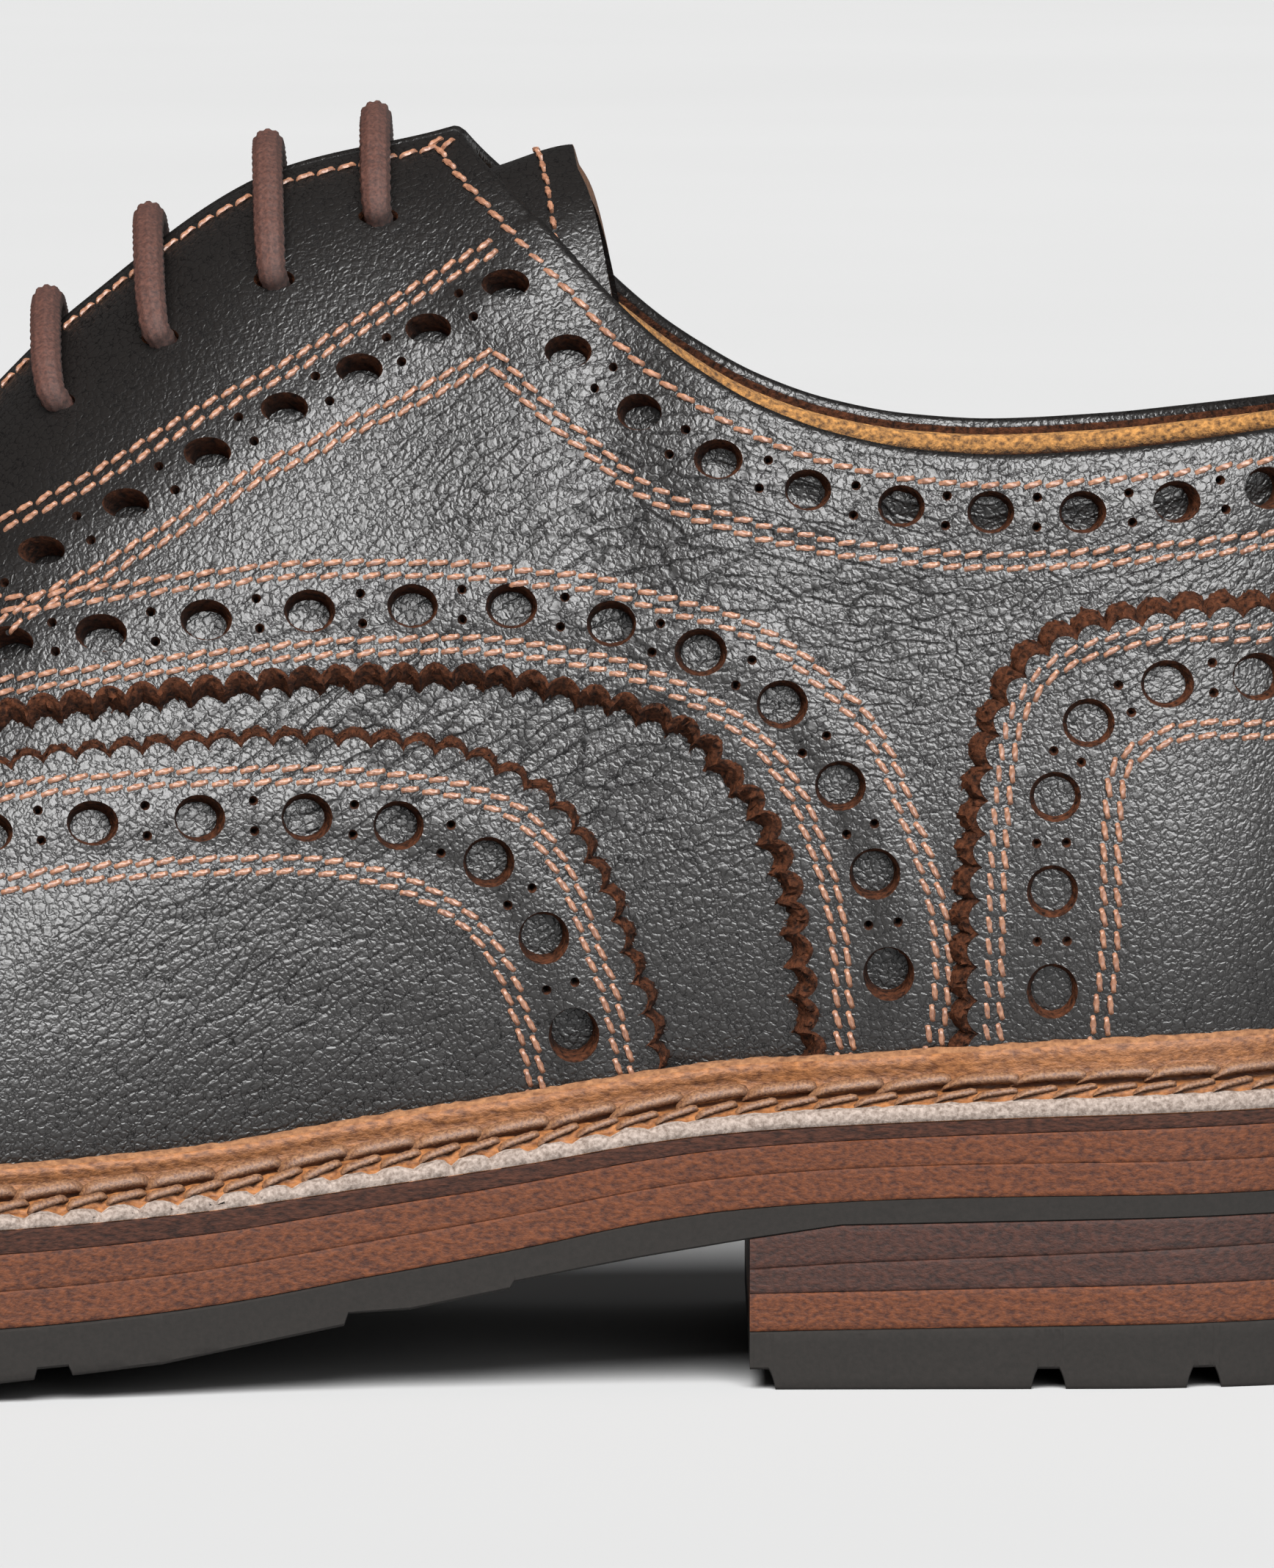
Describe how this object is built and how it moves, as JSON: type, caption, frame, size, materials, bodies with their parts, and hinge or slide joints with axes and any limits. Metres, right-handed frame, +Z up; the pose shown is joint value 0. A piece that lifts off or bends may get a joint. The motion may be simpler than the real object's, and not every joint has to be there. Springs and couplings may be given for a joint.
{
  "type": "brogue shoe",
  "caption": "Black grained leather derby brogue for the left foot, with a storm welt, a stacked leather and rubber sole and a block heel.",
  "frame": {"origin": "centre of the footprint box, on the floor that the sole stands on", "axes": "+X from heel to toe, +Y to the outer side of the left foot, +Z up"},
  "size_m": [0.308, 0.1094, 0.1242],
  "materials": {
    "upper_leather": "grained, waxed, with a soft gloss",
    "tongue_leather": "grained, with a raw tan edge",
    "welt_leather": "natural, waxed edge with heavy stitches",
    "insole_leather": "smooth lining leather",
    "midsole_dark_leather": "dark edge dressing",
    "stacked_leather": "reddish brown edge dressing, satin",
    "sole_rubber": "matte",
    "lace_cord": "round braid, waxed"
  },
  "bodies": {
    "root": {"upper": "upper_leather", "toe_wing": "upper_leather", "quarter_lateral": "upper_leather", "quarter_medial": "upper_leather", "heel_counter": "upper_leather", "tongue": "tongue_leather", "insole": "insole_leather", "welt": "welt_leather", "midsole_dark": "midsole_dark_leather", "midsole_upper": "stacked_leather", "midsole_lower": "stacked_leather", "outsole": "sole_rubber", "heel_lift_1": "stacked_leather", "heel_lift_2": "stacked_leather", "heel_lift_3": "stacked_leather", "heel_top_piece": "sole_rubber", "lace": "lace_cord"}
  },
  "joints": []
}
